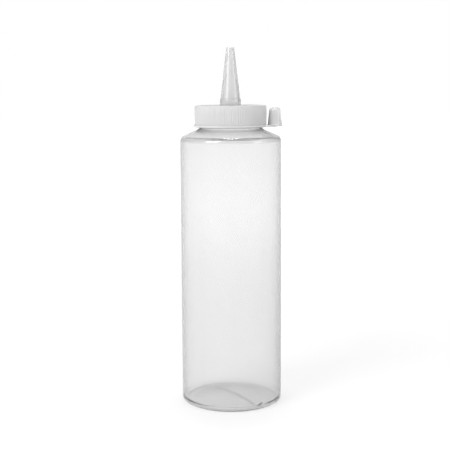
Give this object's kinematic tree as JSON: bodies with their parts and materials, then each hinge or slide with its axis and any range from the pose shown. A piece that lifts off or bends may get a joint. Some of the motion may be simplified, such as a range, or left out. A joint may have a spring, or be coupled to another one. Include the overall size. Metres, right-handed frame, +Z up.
{
  "type": "sauce bottle",
  "caption": "Squeezable sauce bottle with a ribbed screw cap, a tapered cone nozzle and a small tip cap held on a strap.",
  "frame": {"origin": "centre of the base, on the surface that the bottle stands on", "axes": "+Z up along the bottle's axis; the parked tip cap is on the +X side; the front seen in the picture faces -Y"},
  "size_m": [0.0708, 0.07, 0.2477],
  "materials": {
    "bottle_plastic": "milky translucent polyethylene, soft satin",
    "cap_plastic": "milky polyethylene, moulded satin with fine grip ribs",
    "nozzle_plastic": "translucent polyethylene, satin",
    "tether_plastic": "translucent polyethylene, smooth"
  },
  "bodies": {
    "bottle": {"bottle": "bottle_plastic"},
    "tether": {"tether_ring": "tether_plastic"},
    "cap": {"screw_cap": "cap_plastic", "nozzle": "nozzle_plastic"},
    "strap": {"tether_strap": "tether_plastic"},
    "tip": {"tip_cap": "tether_plastic"}
  },
  "joints": [
    {"name": "cap_lift", "type": "slide", "parent": "bottle", "child": "tether", "axis": [0, 0, 1], "range_m": [0, 0.0061]},
    {"name": "cap_turn", "type": "hinge", "parent": "tether", "child": "cap", "pos_m": [0, 0, 0.1932], "axis": [0, 0, 1], "range_deg": [0, 540]},
    {"name": "strap_swing", "type": "hinge", "parent": "tether", "child": "strap", "pos_m": [-0.0255, 0, 0.2003], "axis": [0, -1, 0], "range_deg": [0, 57], "deforming": ["tether_strap"]},
    {"name": "tip_cap_tilt", "type": "hinge", "parent": "strap", "child": "tip", "pos_m": [0.03061, 0, 0.1941], "axis": [0, -1, 0], "range_deg": [-57, 0]}
  ],
  "couplings": [
    {"joint": "cap_lift", "follows": "cap_turn", "m_per_rad": 0.00063662},
    {"joint": "tip_cap_tilt", "follows": "strap_swing", "ratio": -1}
  ]
}
